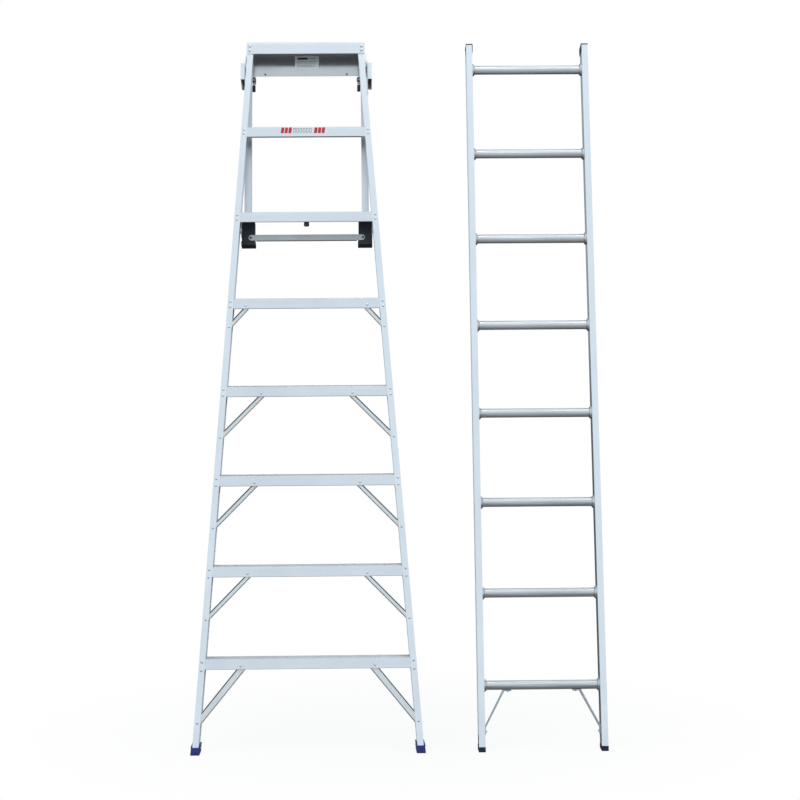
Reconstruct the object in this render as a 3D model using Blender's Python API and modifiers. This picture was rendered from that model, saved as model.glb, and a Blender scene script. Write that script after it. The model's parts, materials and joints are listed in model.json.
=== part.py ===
"""Dual-purpose aluminium ladder in two sections, standing side by side and leaning back as in use.

The left one is a tapered step section with a top cap, seven channel treads and knee braces. A short
rear frame hangs from hinge bolts behind its head, with guides that take the rails of the other one,
a straight section with eight round rungs. Everything is drawn in the plane of the rails:
x runs across, y runs back from the front faces of the rails, z runs up along them.
Metres and degrees, +Z up. The origin is on the floor, under the middle of the bounding box.
"""

import math

import bmesh
import bpy
from mathutils import Euler, Matrix, Vector

# ---- Driving dimensions -------------------------------------------------------------------------
GAP = 0.0003  # between pieces that touch
LEAN = 14.5  # both sections lean back from the vertical

# Spacing up the ladder, measured along the rails from the front edge of the sole
PITCH = 0.300  # from tread to tread, and from rung to rung
LOWEST_TREAD = 0.308  # top front edge of the lowest tread
TREAD_COUNT = 7
CAP_RISE = 0.302  # from the highest tread to the top of the cap

# Tapered step section
FOOT_SPREAD = 0.726  # between the middles of the stiles at the floor
TOP_SPREAD = 0.372  # and at the top of the cap
STILE_WIDTH = 0.0205
STILE_DEPTH = 0.062
STILE_WALL = 0.0018
TREAD_FLANGE = 0.034
TREAD_WALL = 0.0018
CAP_WIDTH = 0.403
CAP_FLANGE = 0.041
CAP_REAR_FLANGE = 0.116
CAP_WALL = 0.002
BRACE_WALL = 0.0015
BRACE_LIP = 0.007
BRACE_LAP_TREAD = 0.021  # how far a brace reaches up behind the tread's flange
BRACE_LAP_STILE = 0.005  # and outward past the middle of the stile
FOOT_WIDTH = 0.029
FOOT_FRONT = 0.0250  # height of the boot's front wall
FOOT_CHEEK = 0.031  # height of its side walls
FOOT_SOLE = 0.010
FOOT_SKIN = 0.003  # boot wall in front of and behind the stile
BUMPER_DIAMETER = 0.018
BUMPER_SHOWS = 0.005
BUMPER_SETBACK = 0.038

# Straight section
SECTION_WIDTH = 0.417
RAIL_ABOVE_RUNG = 0.085  # from the highest rung to the top of the rails
SECTION_APART = 0.757  # how far to the right it stands, between the middles of the two sections
RAIL_WIDTH = 0.021
RAIL_DEPTH = 0.060
RAIL_WALL = 0.0018
RUNG_COUNT = 8
LOWEST_RUNG = 0.217
RUNG_DIAMETER = 0.030
RUNG_WALL = 0.0018
FLARE_DIAMETER = 0.044
FLARE_LENGTH = 0.0075
BEAD_DIAMETER = 0.036
BEAD_LENGTH = 0.003
RAIL_FOOT_WIDTH = 0.0226
RAIL_FOOT_HEIGHT = 0.016
PLUG_LENGTH = 0.030
RAIL_CAP_THICKNESS = 0.0034
RAIL_CAP_OVERHANG = 0.0008
RAIL_CAP_CHEEK = 0.0016  # thickness of the cheek inside the rail
RAIL_CAP_CHEEK_LENGTH = 0.026
STRUT_THICKNESS = 0.0070
STRUT_DEPTH = 0.012
STRUT_TAB = 0.024
STRUT_REACH = 0.088  # from the rail's face to the end of the upper tab
STRUT_FOOT = 0.058  # height of the lower tab's end

# Rear frame
REAR_WIDTH = 0.423
REAR_BEHIND_STILES = 0.014  # from the back of the stiles to the front of its rails
REAR_RAIL_WIDTH = 0.024
REAR_DEPTH = 0.040
REAR_WALL = 0.002
REAR_LENGTH = 0.651
HINGE_DROP = 0.054  # hinge bolts below the top of the cap
REAR_ABOVE_HINGE = 0.023
HINGE_PLATE_WALL = 0.0025
HINGE_PLATE_NOSE = 0.014  # radius round the bolt
HINGE_PLATE_BELOW = 0.032  # its lower edge below the bolt
HINGE_PLATE_INSET = 0.010  # its front edge behind the front of the stile
BOLT_DIAMETER = 0.010
BOLT_PLAY = 0.0006  # on the radius
NOTCH_DROP = 0.045  # the rails' front flanges stop this far below the bolt
NOTCH_DEPTH = 0.010
HEAD_BELOW, HEAD_ABOVE = 0.017, 0.005  # edges of the head plate, from the hinge bolts
SLIDE_GAP = 0.008  # between the rear rails and the straight section in the guides
GUIDE_WALL = 0.0025
GUIDE_LIP = 0.028
SHOE_BELOW_RAIL = 0.015
SHOE_HEIGHT = 0.086
SHOE_COLLAR = 0.013
SHOE_ARM_ABOVE = 0.034  # lower edge of its arm, above the bottom of the shoe
SHOE_FRONT_WALL = 0.006
SHOE_INNER_WALL = 0.012
SHOE_OUTER_WALL = 0.0085
SHOE_COLLAR_STEP = 0.0022  # how far the collar stands out
CROSS_BAR_HEIGHT = 0.020
CROSS_BAR_DEPTH = 0.011
CROSS_BAR_TAB = 0.0032
CROSS_BAR_ABOVE_SHOE = 0.014  # its lower edge above the bottom of the shoes
UPPER_GUIDE_BELOW, UPPER_GUIDE_ABOVE = 0.050, 0.009  # its edges, from the hinge bolts
UPPER_GUIDE_REACH = 0.0145  # how far it stands out beside the rear rail
LINER_ABOVE_GUIDE = 0.020  # lower edge of the liner above that of the guide
LOCK_BELOW_HEAD = 0.030  # lock pivots below the head plate
LOCK_SETBACK = 0.020  # pivot behind the front of the rear rails
LOCK_THICKNESS = 0.008
LOCK_INSET = 0.003  # from the rear rail's inner edge to the lock
LOCK_BOSS = 0.011
LOCK_SEAT = 0.022  # height of the rung seat above the pivot
LOCK_CLEAR = 0.020  # behind the pivot, where the hook may rise past the head plate
LOCK_PIN_DIAMETER = 0.007

# ---- What follows from them ---------------------------------------------------------------------
LEAN_RISE = math.tan(math.radians(LEAN))
HIGHEST_TREAD = LOWEST_TREAD + (TREAD_COUNT - 1) * PITCH
CAP_TOP = HIGHEST_TREAD + CAP_RISE
TAPER_RISE = (FOOT_SPREAD - TOP_SPREAD) / 2 / CAP_TOP
TAPER = math.degrees(math.atan(TAPER_RISE))
TAPER_COS = math.cos(math.radians(TAPER))
TAPER_SIN = math.sin(math.radians(TAPER))
SECTION_LENGTH = LOWEST_RUNG + (RUNG_COUNT - 1) * PITCH + RAIL_ABOVE_RUNG
HINGE_HEIGHT = CAP_TOP - HINGE_DROP
REAR_TOP = HINGE_HEIGHT + REAR_ABOVE_HINGE
HEAD_LOW, HEAD_HIGH = HINGE_HEIGHT - HEAD_BELOW, HINGE_HEIGHT + HEAD_ABOVE
UPPER_GUIDE_LOW, UPPER_GUIDE_HIGH = HINGE_HEIGHT - UPPER_GUIDE_BELOW, HINGE_HEIGHT + UPPER_GUIDE_ABOVE
LINER_LOW = UPPER_GUIDE_LOW + LINER_ABOVE_GUIDE
LOCK_HEIGHT = HEAD_LOW - LOCK_BELOW_HEAD
SHOE_LOW = REAR_TOP - REAR_LENGTH - SHOE_BELOW_RAIL
REAR_HALF = REAR_WIDTH / 2
REAR_FRONT = STILE_DEPTH + REAR_BEHIND_STILES
REAR_BACK = REAR_FRONT + REAR_DEPTH
HINGE_BACK = REAR_FRONT + REAR_DEPTH / 2
SECTION_HALF = SECTION_WIDTH / 2
SECTION_INNER = SECTION_HALF - RAIL_WIDTH
SLIDE_FRONT = REAR_BACK + SLIDE_GAP  # where the straight section's rails run in the guides
SLIDE_BACK = SLIDE_FRONT + RAIL_DEPTH
LIP_FRONT = SLIDE_BACK + 0.004
SIDES = {"left": -1, "right": 1}

ALUMINIUM = (0.80, 0.84, 0.88, 1.0)
DULL_ALUMINIUM = (0.62, 0.65, 0.69, 1.0)
RUNG_GREY = (0.66, 0.69, 0.74, 1.0)
NAVY = (0.02, 0.03, 0.16, 1.0)
BLACK = (0.02, 0.02, 0.03, 1.0)
ZINC = (0.45, 0.50, 0.53, 1.0)


def clear_scene():
    for thing in list(bpy.data.objects):
        bpy.data.objects.remove(thing, do_unlink=True)


def collection(name):
    made = bpy.data.collections.new(name)
    bpy.context.scene.collection.children.link(made)
    return made


def material(name, colour, roughness, metallic):
    made = bpy.data.materials.new(name)
    made.use_nodes = True
    shader = made.node_tree.nodes["Principled BSDF"]
    shader.inputs["Base Color"].default_value = colour
    shader.inputs["Roughness"].default_value = roughness
    shader.inputs["Metallic"].default_value = metallic
    return made


def empty(name, parent=None, location=(0, 0, 0), rotation=(0, 0, 0)):
    made = bpy.data.objects.new(name, None)
    LADDER.objects.link(made)
    made.parent = parent
    made.location = location
    made.rotation_euler = Euler(rotation)
    return made


# ---- Shapes -------------------------------------------------------------------------------------
def mesh_from(name, shape):
    """Turns a finished bmesh into a mesh with its faces pointing out."""
    bmesh.ops.recalc_face_normals(shape, faces=shape.faces)
    mesh = bpy.data.meshes.new(name)
    shape.to_mesh(mesh)
    shape.free()
    return mesh


def end_at(value):
    return value if callable(value) else lambda u, v: value


def extruded(name, outline, start, end, along="Z"):
    """An outline in (u, v) drawn out from start to end. Each end is a number, or a slanted plane
    given as a function of (u, v). Along Z the outline is (x, y), along X it is (y, z), along Y (x, z)."""
    spots = {
        "X": lambda u, v, w: (w, u, v),
        "Y": lambda u, v, w: (u, w, v),
        "Z": lambda u, v, w: (u, v, w),
    }[along]
    start, end = end_at(start), end_at(end)
    shape = bmesh.new()
    base = shape.faces.new([shape.verts.new(spots(u, v, 0.0)) for u, v in outline])
    grown = bmesh.ops.extrude_face_region(shape, geom=[base])["geom"]
    far = {point for point in grown if isinstance(point, bmesh.types.BMVert)}
    read = {"X": lambda c: (c.y, c.z), "Y": lambda c: (c.x, c.z), "Z": lambda c: (c.x, c.y)}[along]
    for point in shape.verts:
        u, v = read(point.co)
        point.co = spots(u, v, end(u, v) if point in far else start(u, v))
    return mesh_from(name, shape)


def rectangle(u0, u1, v0, v1):
    return [(u0, v0), (u1, v0), (u1, v1), (u0, v1)]


def box(name, x0, x1, y0, y1, z0, z1):
    shape = bmesh.new()
    bmesh.ops.create_cube(shape, size=1.0)
    middle = Vector(((x0 + x1) / 2, (y0 + y1) / 2, (z0 + z1) / 2))
    size = Vector((abs(x1 - x0), abs(y1 - y0), abs(z1 - z0)))
    place = Matrix.Translation(middle) @ Matrix.Diagonal(size.to_4d())
    bmesh.ops.transform(shape, matrix=place, verts=shape.verts)
    return mesh_from(name, shape)


def rods(name, radius, x0, x1, centres, sides=20):
    """Cylinders along X between x0 and x1, one at each (y, z) centre, in one mesh."""
    shape = bmesh.new()
    for y, z in centres:
        place = Matrix.Translation(((x0 + x1) / 2, y, z)) @ Matrix.Rotation(math.pi / 2, 4, "Y")
        wide = {"radius1": radius, "radius2": radius, "depth": abs(x1 - x0)}
        bmesh.ops.create_cone(shape, cap_ends=True, segments=sides, matrix=place, **wide)
    return mesh_from(name, shape)


def channel(width, depth, wall, web_side):
    """Outline of a channel: its web on the given side in x, its flanges at y = 0 and y = depth."""
    web, tip = web_side * width / 2, -web_side * width / 2
    inner = web - web_side * wall
    return [
        (tip, 0.0),
        (web, 0.0),
        (web, depth),
        (tip, depth),
        (tip, depth - wall),
        (inner, depth - wall),
        (inner, wall),
        (tip, wall),
    ]


def arc(centre, radius, first, last, steps):
    """Points on a circle, from one angle to the other in degrees, measured from +u towards +v."""
    angles = [math.radians(first + (last - first) * i / steps) for i in range(steps + 1)]
    return [(centre[0] + radius * math.cos(a), centre[1] + radius * math.sin(a)) for a in angles]


def add(name, mesh, finish, parent, location=(0, 0, 0), rotation=(0, 0, 0)):
    made = bpy.data.objects.new(name, mesh)
    LADDER.objects.link(made)
    mesh.materials.append(finish)
    made.parent = parent
    made.location = location
    made.rotation_euler = Euler(rotation)
    return made


def shape_with(target, operation, mesh, location=None, rotation=None):
    """Joins the mesh to the target, or cuts it away. The helper shares the target's parent and place."""
    helper = bpy.data.objects.new(f"{target.name}_{operation.lower()}_{len(target.modifiers)}", mesh)
    HELPERS.objects.link(helper)
    helper.parent = target.parent
    helper.location = target.location if location is None else location
    helper.rotation_euler = target.rotation_euler if rotation is None else Euler(rotation)
    helper.hide_render = True
    helper.display_type = "WIRE"
    change = target.modifiers.new(operation.title(), "BOOLEAN")
    change.operation = operation
    change.object = helper


def turned(name, profile, finish, parent, location, steps):
    """A closed profile of (x, radius) points spun about the X axis."""
    mesh = bpy.data.meshes.new(name)
    count = len(profile)
    mesh.from_pydata([(x, 0.0, r) for x, r in profile], [(i, (i + 1) % count) for i in range(count)], [])
    made = add(name, mesh, finish, parent, location)
    spin = made.modifiers.new("Turn", "SCREW")
    spin.axis = "X"
    spin.steps = spin.render_steps = steps
    spin.use_merge_vertices = True
    spin.merge_threshold = 0.00001
    return made


def solid_turned(name, steps_out, finish, parent, location, steps):
    """A turned pin: (x0, x1, radius) lengths that follow each other, closed on the axis at both ends."""
    shape = bmesh.new()
    points = [(steps_out[0][0], 0.0)]
    for x0, x1, radius in steps_out:
        points += [(x0, radius), (x1, radius)]
    points.append((steps_out[-1][1], 0.0))
    spots = [shape.verts.new((x, 0.0, r)) for x, r in points]
    edges = [shape.edges.new(pair) for pair in zip(spots, spots[1:])]
    turn = {"cent": (0, 0, 0), "axis": (1, 0, 0), "angle": 2 * math.pi}
    bmesh.ops.spin(shape, geom=spots + edges, steps=steps, use_merge=True, **turn)
    bmesh.ops.remove_doubles(shape, verts=shape.verts, dist=0.000005)
    return add(name, mesh_from(name, shape), finish, parent, location)


# ---- Step section -------------------------------------------------------------------------------
def stile_middle(height):
    """Half the distance between the middles of the stiles at a height along the plane."""
    return FOOT_SPREAD / 2 - height * TAPER_RISE


def along_stile(side, height_at):
    """Turns a height in the ladder's plane, given as a function of the setback y, into a distance along
    one stile, for a point at x beside the stile's own middle line."""
    return lambda x, y: (height_at(y) + x * -side * TAPER_SIN) / TAPER_COS


def floor_line(raised):
    """The floor, seen in the leaning plane, raised by some height."""
    return lambda y: y * LEAN_RISE + raised


def stile_place(side):
    return {
        "location": (side * FOOT_SPREAD / 2, 0.0, 0.0),
        "rotation": (0.0, -side * math.radians(TAPER), 0.0),
    }


def make_stile(name, side):
    under_cap = CAP_TOP - (CAP_WALL + 2 * GAP) / math.cos(math.radians(LEAN))
    outline = channel(STILE_WIDTH, STILE_DEPTH, STILE_WALL, side)
    low = along_stile(side, floor_line(FOOT_SOLE + GAP))
    high = along_stile(side, floor_line(under_cap))
    stile = extruded("stile", outline, low, high)
    add(f"stile_{name}", stile, FINISH["rail"], STEP_PLANE, **stile_place(side))


def make_foot(name, side):
    half, inner = FOOT_WIDTH / 2, STILE_WIDTH / 2 + GAP
    front, back = -FOOT_SKIN, STILE_DEPTH + FOOT_SKIN
    outline = rectangle(-half, half, front, back)
    low, high = along_stile(side, floor_line(0.0)), along_stile(side, floor_line(FOOT_CHEEK))
    foot = extruded("foot", outline, low, high)
    foot = add(f"foot_{name}", foot, FINISH["foot"], STEP_PLANE, **stile_place(side))
    above = along_stile(side, floor_line(2 * FOOT_CHEEK))
    pocket = rectangle(-inner, inner, -GAP, STILE_DEPTH + GAP)
    sole = along_stile(side, floor_line(FOOT_SOLE))
    shape_with(foot, "DIFFERENCE", extruded("pocket", pocket, sole, above))
    mouth = rectangle(-inner, inner, 2 * front, back - 2 * front)
    shape_with(foot, "DIFFERENCE", extruded("mouth", mouth, along_stile(side, floor_line(FOOT_FRONT)), above))


def tread_line(top):
    """Height of a level tread's top surface at a setback y, its front edge being at the given height."""
    front = STILE_WALL + GAP
    return lambda y: top + (y - front) * LEAN_RISE


def bent_channel(front, back, wall, line, front_flange, back_flange):
    """Outline in (y, z) of a level sheet with a flange down at each edge, parallel to the stiles."""
    under = wall / math.cos(math.radians(LEAN))
    return [
        (front, line(front) - front_flange),
        (front, line(front)),
        (back, line(back)),
        (back, line(back) - back_flange),
        (back - wall, line(back) - back_flange),
        (back - wall, line(back - wall) - under),
        (front + wall, line(front + wall) - under),
        (front + wall, line(front) - front_flange),
    ]


def make_tread(number, top):
    front, back = STILE_WALL + GAP, STILE_DEPTH - STILE_WALL - GAP
    outline = bent_channel(front, back, TREAD_WALL, tread_line(top), TREAD_FLANGE, TREAD_FLANGE)
    reach = (STILE_WIDTH / 2 - STILE_WALL - GAP) / TAPER_COS

    def end(side):
        return lambda y, z: side * (stile_middle(z) + reach)

    add(f"tread_{number}", extruded("tread", outline, end(-1), end(1), "X"), FINISH["tread"], STEP_PLANE)


def make_cap():
    front, back = -GAP - CAP_WALL, STILE_DEPTH + GAP + CAP_WALL
    outline = bent_channel(front, back, CAP_WALL, floor_line(CAP_TOP), CAP_FLANGE, CAP_REAR_FLANGE)
    half = CAP_WIDTH / 2
    cap = add("top_cap", extruded("cap", outline, -half, half, "X"), FINISH["cap"], STEP_PLANE)
    # the rear flange stops short of the hinge plates
    short = CAP_WIDTH / 2 - 0.008
    for side in SIDES.values():
        low = CAP_TOP - 2 * CAP_REAR_FLANGE
        front, high = STILE_DEPTH - 0.003, CAP_TOP - 0.015
        corner = box("corner", side * short, side * CAP_WIDTH, front, back + 0.01, low, high)
        shape_with(cap, "DIFFERENCE", corner)


def make_brace(name, side, number, top, tab, drop, width):
    """A channel strip from behind a tread's front flange to behind the stile's, its lips to the front.
    tab is how far in from the stile its middle line leaves the tread, and drop how far below the tread
    it meets the stile."""
    under = top - TREAD_FLANGE
    high = Vector((stile_middle(under) - STILE_WIDTH / 2 - tab, under))
    low = Vector((stile_middle(under - drop), under - drop))
    run = (low - high).normalized()
    start = high - run * BRACE_LAP_TREAD / abs(run.y)
    across = run.y - TAPER_RISE * run.x  # how fast a step across the strip nears the stile
    along = run.x + TAPER_RISE * run.y

    def finish(x, y):
        left = FOOT_SPREAD / 2 + BRACE_LAP_STILE / TAPER_COS - start.x - TAPER_RISE * start.y
        return (left - side * x * across) / along

    front = STILE_WALL + 2 * GAP + TREAD_WALL
    half, wall = width / 2, BRACE_WALL
    outline = [
        (-half, BRACE_LIP),
        (half, BRACE_LIP),
        (half, 0.0),
        (half - wall, 0.0),
        (half - wall, BRACE_LIP - wall),
        (-half + wall, BRACE_LIP - wall),
        (-half + wall, 0.0),
        (-half, 0.0),
    ]
    turn = math.atan2(side * run.x, run.y)
    mesh = extruded("brace", outline, 0.0, finish)
    add(
        f"knee_brace_{number}_{name}",
        mesh,
        FINISH["brace"],
        STEP_PLANE,
        location=(side * start.x, front, start.y),
        rotation=(0.0, turn, 0.0),
    )


def make_bumper(tread_top):
    radius = BUMPER_DIAMETER / 2
    low = tread_top - TREAD_FLANGE - BUMPER_SHOWS
    middle = BUMPER_SETBACK
    high = tread_line(tread_top)(middle - radius) - TREAD_WALL / math.cos(math.radians(LEAN)) - GAP
    shape = bmesh.new()
    place = Matrix.Translation((0, middle, (low + high) / 2))
    wide = {"radius1": radius, "radius2": radius * 0.92, "depth": high - low}
    bmesh.ops.create_cone(shape, cap_ends=True, segments=20, matrix=place, **wide)
    add("bumper", mesh_from("bumper", shape), FINISH["black"], STEP_PLANE)


def hinge_plate_inner():
    """Inner face of the hinge plates: clear of the cap, and of the stile at the plate's lower edge."""
    outer_of_stile = stile_middle(HINGE_HEIGHT - HINGE_PLATE_BELOW) + STILE_WIDTH / 2 / TAPER_COS
    return max(outer_of_stile, CAP_WIDTH / 2) + GAP


def make_hinge(name, side):
    inner = hinge_plate_inner()
    outer = inner + HINGE_PLATE_WALL
    low, high = HINGE_HEIGHT - HINGE_PLATE_BELOW, HINGE_HEIGHT + HINGE_PLATE_NOSE
    nose = arc((HINGE_BACK, HINGE_HEIGHT), HINGE_PLATE_NOSE, -90, 90, 8)
    front = HINGE_PLATE_INSET
    outline = [(front, low), (STILE_DEPTH - 0.004, low), *nose, (front, high)]
    mesh = extruded("hinge_plate", outline, side * inner, side * outer, "X")
    plate = add(f"hinge_plate_{name}", mesh, FINISH["rail"], STEP_PLANE)
    radius = BOLT_DIAMETER / 2
    span = side * (inner - 0.01), side * (outer + 0.01)
    hole = rods("hole", radius + BOLT_PLAY, *span, [(HINGE_BACK, HINGE_HEIGHT)])
    shape_with(plate, "DIFFERENCE", hole)
    web = REAR_HALF - REAR_WALL
    head = REAR_HALF + 2 * GAP + GUIDE_WALL
    lengths = [
        (inner - 0.0055, inner - GAP, radius * 1.6),
        (inner - GAP, outer + GAP, radius),
        (outer + GAP, web - GAP, radius * 1.5),
        (web - GAP, head, radius),
        (head, head + 0.004, radius * 1.8),
    ]
    lengths = [(side * a, side * b, r) for a, b, r in lengths]
    solid_turned(f"hinge_bolt_{name}", lengths, FINISH["zinc"], STEP_PLANE, (0, HINGE_BACK, HINGE_HEIGHT), 16)


def make_step_section():
    for name, side in SIDES.items():
        make_stile(name, side)
        make_foot(name, side)
        make_hinge(name, side)
    make_cap()
    tops = {number: HIGHEST_TREAD - (number - 2) * PITCH for number in range(2, TREAD_COUNT + 2)}
    for number, top in tops.items():
        make_tread(number, top)
    make_bumper(tops[3])
    # from tread 4 down: how far in each brace starts, how far down it ends, and its width
    braces = {4: (0.042, 0.063, 0.018), 5: (0.115, 0.138, 0.018), 6: (0.115, 0.139, 0.018)}
    braces |= {7: (0.115, 0.139, 0.018), 8: (0.116, 0.171, 0.025)}
    for number, (tab, drop, width) in braces.items():
        for name, side in SIDES.items():
            make_brace(name, side, number, tops[number], tab, drop, width)


# ---- Rear frame ---------------------------------------------------------------------------------
def rear(y, z):
    """A place in the ladder's plane, seen from the rear frame's hinge axis."""
    return (0.0, y - HINGE_BACK, z - HINGE_HEIGHT)


def make_rear_rail(name, side):
    low = REAR_TOP - REAR_LENGTH
    outline = [(x, y + REAR_FRONT) for x, y in channel(REAR_RAIL_WIDTH, REAR_DEPTH, REAR_WALL, side)]
    middle = side * (REAR_HALF - REAR_RAIL_WIDTH / 2)
    outline = [(x + middle, y) for x, y in outline]
    mesh = extruded("rear_rail", outline, low, REAR_TOP)
    rail = add(f"rear_rail_{name}", mesh, FINISH["rear"], REAR_PIVOT, rear(0, 0))
    far, near = side * (REAR_HALF + 0.01), side * (REAR_HALF - REAR_RAIL_WIDTH - 0.01)
    notch_low = HINGE_HEIGHT - NOTCH_DROP
    notch = box("notch", near, far, REAR_FRONT - 0.01, REAR_FRONT + NOTCH_DEPTH, notch_low, REAR_TOP + 0.01)
    shape_with(rail, "DIFFERENCE", notch)
    radius = BOLT_DIAMETER / 2 + BOLT_PLAY
    bore = rods("bore", radius, side * (REAR_HALF - 0.006), far, [(HINGE_BACK, HINGE_HEIGHT)])
    shape_with(rail, "DIFFERENCE", bore)


def make_head_plate():
    """A trough between the rear rails, just below the hinge bolts."""
    front, back = REAR_FRONT - 0.0035, REAR_BACK - REAR_WALL - GAP
    wall = REAR_WALL
    half = min(hinge_plate_inner() - 0.001, REAR_HALF - REAR_WALL - GAP)
    outline = [
        (front, HEAD_HIGH),
        (front, HEAD_LOW),
        (back, HEAD_LOW),
        (back, HEAD_HIGH),
        (back - wall, HEAD_HIGH),
        (back - wall, HEAD_LOW + wall),
        (front + wall, HEAD_LOW + wall),
        (front + wall, HEAD_HIGH),
    ]
    plate = extruded("head_plate", outline, -half, half, "X")
    add("head_plate", plate, FINISH["rear"], REAR_PIVOT, rear(0, 0))


def shoe_sides(margin=0.0):
    """Inner and outer faces of a shoe, from the middle of the ladder."""
    return REAR_HALF - REAR_RAIL_WIDTH - SHOE_INNER_WALL - margin, REAR_HALF + SHOE_OUTER_WALL + margin


def shoe_outline(side, margin=0.0):
    inner, outer = shoe_sides(margin)
    front, back = REAR_FRONT - SHOE_FRONT_WALL, REAR_BACK + 0.0035
    return rectangle(side * inner, side * outer, front, back)


def make_shoe(name, side):
    """A moulded block round the foot of a rear rail, with an arm beside the guided rail."""
    collar_top = SHOE_LOW + SHOE_COLLAR
    body = extruded("shoe", shoe_outline(side), collar_top - 0.005, SHOE_LOW + SHOE_HEIGHT)
    arm = rectangle(side * (REAR_HALF + GAP), side * shoe_sides()[1], REAR_BACK - 0.002, SLIDE_BACK + 0.003)
    shoe = add(f"lower_shoe_{name}", body, FINISH["black"], REAR_PIVOT, rear(0, 0))
    collar = extruded("collar", shoe_outline(side, SHOE_COLLAR_STEP), SHOE_LOW, collar_top)
    shape_with(shoe, "UNION", collar)
    shape_with(shoe, "UNION", extruded("arm", arm, SHOE_LOW + SHOE_ARM_ABOVE, SHOE_LOW + SHOE_HEIGHT))
    inner, outer = REAR_HALF - REAR_RAIL_WIDTH - GAP, REAR_HALF + GAP
    low, high = REAR_TOP - REAR_LENGTH - GAP, SHOE_LOW + SHOE_HEIGHT + 0.01
    pocket = box("pocket", side * inner, side * outer, REAR_FRONT - GAP, REAR_BACK + GAP, low, high)
    shape_with(shoe, "DIFFERENCE", pocket)


def lipped_plate(side, inner, front):
    """Outline in (x, y) of a plate beside the guided rail, with a lip behind it."""
    outer = inner + GUIDE_WALL
    points = [
        (inner, front),
        (outer, front),
        (outer, LIP_FRONT + GUIDE_WALL),
        (outer - GUIDE_LIP, LIP_FRONT + GUIDE_WALL),
        (outer - GUIDE_LIP, LIP_FRONT),
        (inner, LIP_FRONT),
    ]
    return [(side * x, y) for x, y in points]


def make_lower_guide(name, side):
    outer = shoe_sides()[1]
    low = SHOE_LOW + SHOE_ARM_ABOVE
    outline = lipped_plate(side, outer + GAP, REAR_FRONT - 0.002)
    mesh = extruded("lower_guide", outline, low, SHOE_LOW + SHOE_HEIGHT + 0.006)
    add(f"lower_guide_{name}", mesh, FINISH["rail"], REAR_PIVOT, rear(0, 0))


def make_cross_bar():
    """A flat bar whose ends lie on the shoes, thickened to a hollow section between them."""
    low = SHOE_LOW + CROSS_BAR_ABOVE_SHOE
    front = REAR_FRONT - SHOE_FRONT_WALL - GAP - CROSS_BAR_TAB
    radius = CROSS_BAR_HEIGHT / 2
    reach = REAR_HALF - 0.0145
    middle = low + radius
    outline = arc((reach - radius, middle), radius, -90, 90, 8)
    outline += arc((radius - reach, middle), radius, 90, 270, 8)
    bar = extruded("cross_bar", outline, front, front + CROSS_BAR_TAB, "Y")
    bar = add("cross_bar", bar, FINISH["rear"], REAR_PIVOT, rear(0, 0))
    half = shoe_sides(SHOE_COLLAR_STEP)[0] - 0.003
    back, high = front + CROSS_BAR_DEPTH, low + CROSS_BAR_HEIGHT
    body = box("body", -half, half, front, back, low - 0.0004, high + 0.0004)
    shape_with(bar, "UNION", body)


def make_upper_guide(name, side):
    """A folded bracket on the outside of the rear rail: inner leg, front wall, outer wall and rear lip."""
    wall = GUIDE_WALL
    inner, outer = REAR_HALF + GAP, REAR_HALF + UPPER_GUIDE_REACH
    front = REAR_FRONT + NOTCH_DEPTH * 0.2
    leg_back = REAR_BACK - 0.002
    points = [
        (inner, front),
        (outer, front),
        (outer, LIP_FRONT + wall),
        (outer - GUIDE_LIP, LIP_FRONT + wall),
        (outer - GUIDE_LIP, LIP_FRONT),
        (outer - wall, LIP_FRONT),
        (outer - wall, front + wall),
        (inner + wall, front + wall),
        (inner + wall, leg_back),
        (inner, leg_back),
    ]
    outline = [(side * x, y) for x, y in points]
    mesh = extruded("upper_guide", outline, UPPER_GUIDE_LOW, UPPER_GUIDE_HIGH)
    guide = add(f"upper_guide_{name}", mesh, FINISH["rail"], REAR_PIVOT, rear(0, 0))
    radius = BOLT_DIAMETER / 2 + BOLT_PLAY
    span = side * (inner - 0.005), side * (inner + wall + 0.005)
    shape_with(guide, "DIFFERENCE", rods("bore", radius, *span, [(HINGE_BACK, HINGE_HEIGHT)]))
    liner_outer = outer - wall - GAP
    liner_inner = REAR_HALF + 0.0004
    liner = rectangle(side * liner_inner, side * liner_outer, REAR_BACK + 0.001, LIP_FRONT - GAP)
    mesh = extruded("guide_liner", liner, LINER_LOW, UPPER_GUIDE_HIGH - 0.003)
    add(f"guide_liner_{name}", mesh, FINISH["black"], REAR_PIVOT, rear(0, 0))


def lock_span():
    """Inner and outer faces of a rung lock, just inside the rear rail."""
    outer = REAR_HALF - REAR_RAIL_WIDTH - LOCK_INSET
    return outer - LOCK_THICKNESS, outer


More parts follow.
